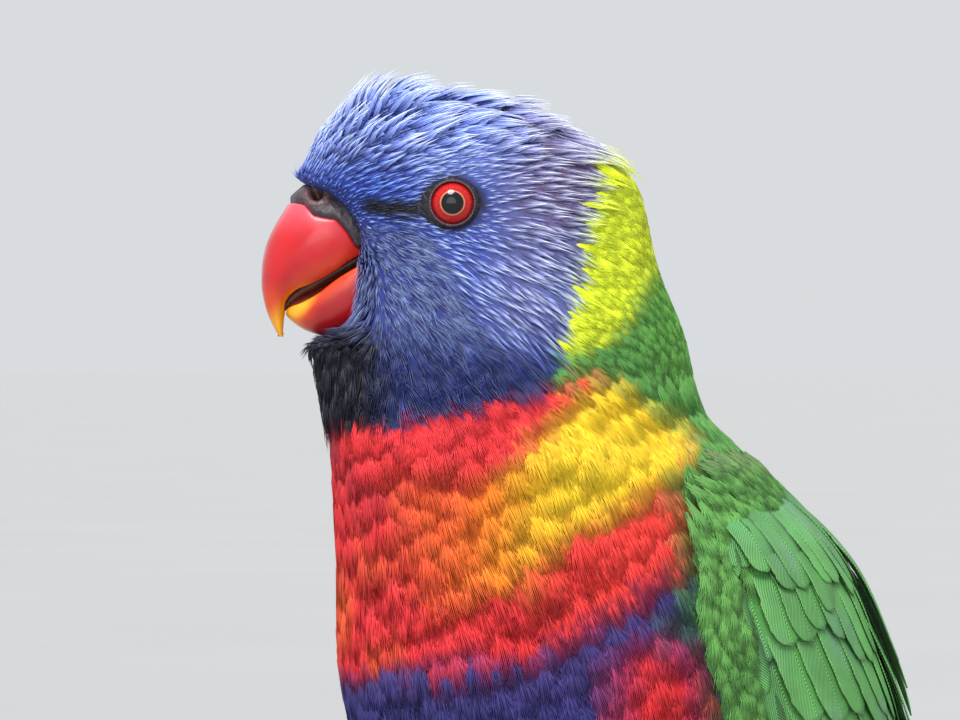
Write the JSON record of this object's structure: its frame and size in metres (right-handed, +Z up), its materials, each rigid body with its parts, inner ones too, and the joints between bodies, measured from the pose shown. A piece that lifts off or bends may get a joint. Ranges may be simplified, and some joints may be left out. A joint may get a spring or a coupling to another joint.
{
  "type": "rainbow lorikeet model on a display perch",
  "caption": "Life-size still model of a rainbow lorikeet gripping a cut branch, head turned and bill slightly open, on a round display stand.",
  "frame": {"origin": "middle of the stand base's underside, straight below the perch", "axes": "+Z up; the bird's body faces -Y, its left is +X, and its head is turned 28 degrees towards -X"},
  "size_m": [0.124, 0.1512, 0.2651],
  "materials": {
    "head_plumage": "dark indigo feathers with pale lavender-blue shaft streaks",
    "collar_plumage": "blue throat and yellow-green nape band",
    "body_plumage": "scarlet and orange breast, violet-blue belly, green back",
    "wing_plumage": "green vanes with dark edges",
    "tail_plumage": "green above, yellow-green below",
    "thigh_plumage": "soft green and blue feathers",
    "bill": "glossy red horn, orange to yellow at the tip",
    "cere": "dark grey bare skin",
    "mouth": "moist dark red",
    "eye": "red iris round a black pupil under a clear gloss",
    "foot_skin": "grey scaly skin",
    "claw": "dark horn",
    "bark": "rough grey-brown bark with cut ends",
    "base_wood": "satin dark wood",
    "stand_brass": "brushed"
  },
  "bodies": {
    "root": {"head": "head_plumage", "neck": "collar_plumage", "torso": "body_plumage", "upper_bill": "bill", "cere": "cere", "lower_bill": "bill", "tongue": "mouth", "left_eye": "eye", "right_eye": "eye", "left_wing": "wing_plumage", "right_wing": "wing_plumage", "tail": "tail_plumage", "left_thigh": "thigh_plumage", "right_thigh": "thigh_plumage", "left_foot": "foot_skin", "right_foot": "foot_skin", "left_claw_1": "claw", "left_claw_2": "claw", "left_claw_3": "claw", "left_claw_4": "claw", "right_claw_1": "claw", "right_claw_2": "claw", "right_claw_3": "claw", "right_claw_4": "claw", "perch": "bark", "stand_base": "base_wood", "stand_collar": "stand_brass", "stand_rod": "stand_brass"}
  },
  "joints": []
}
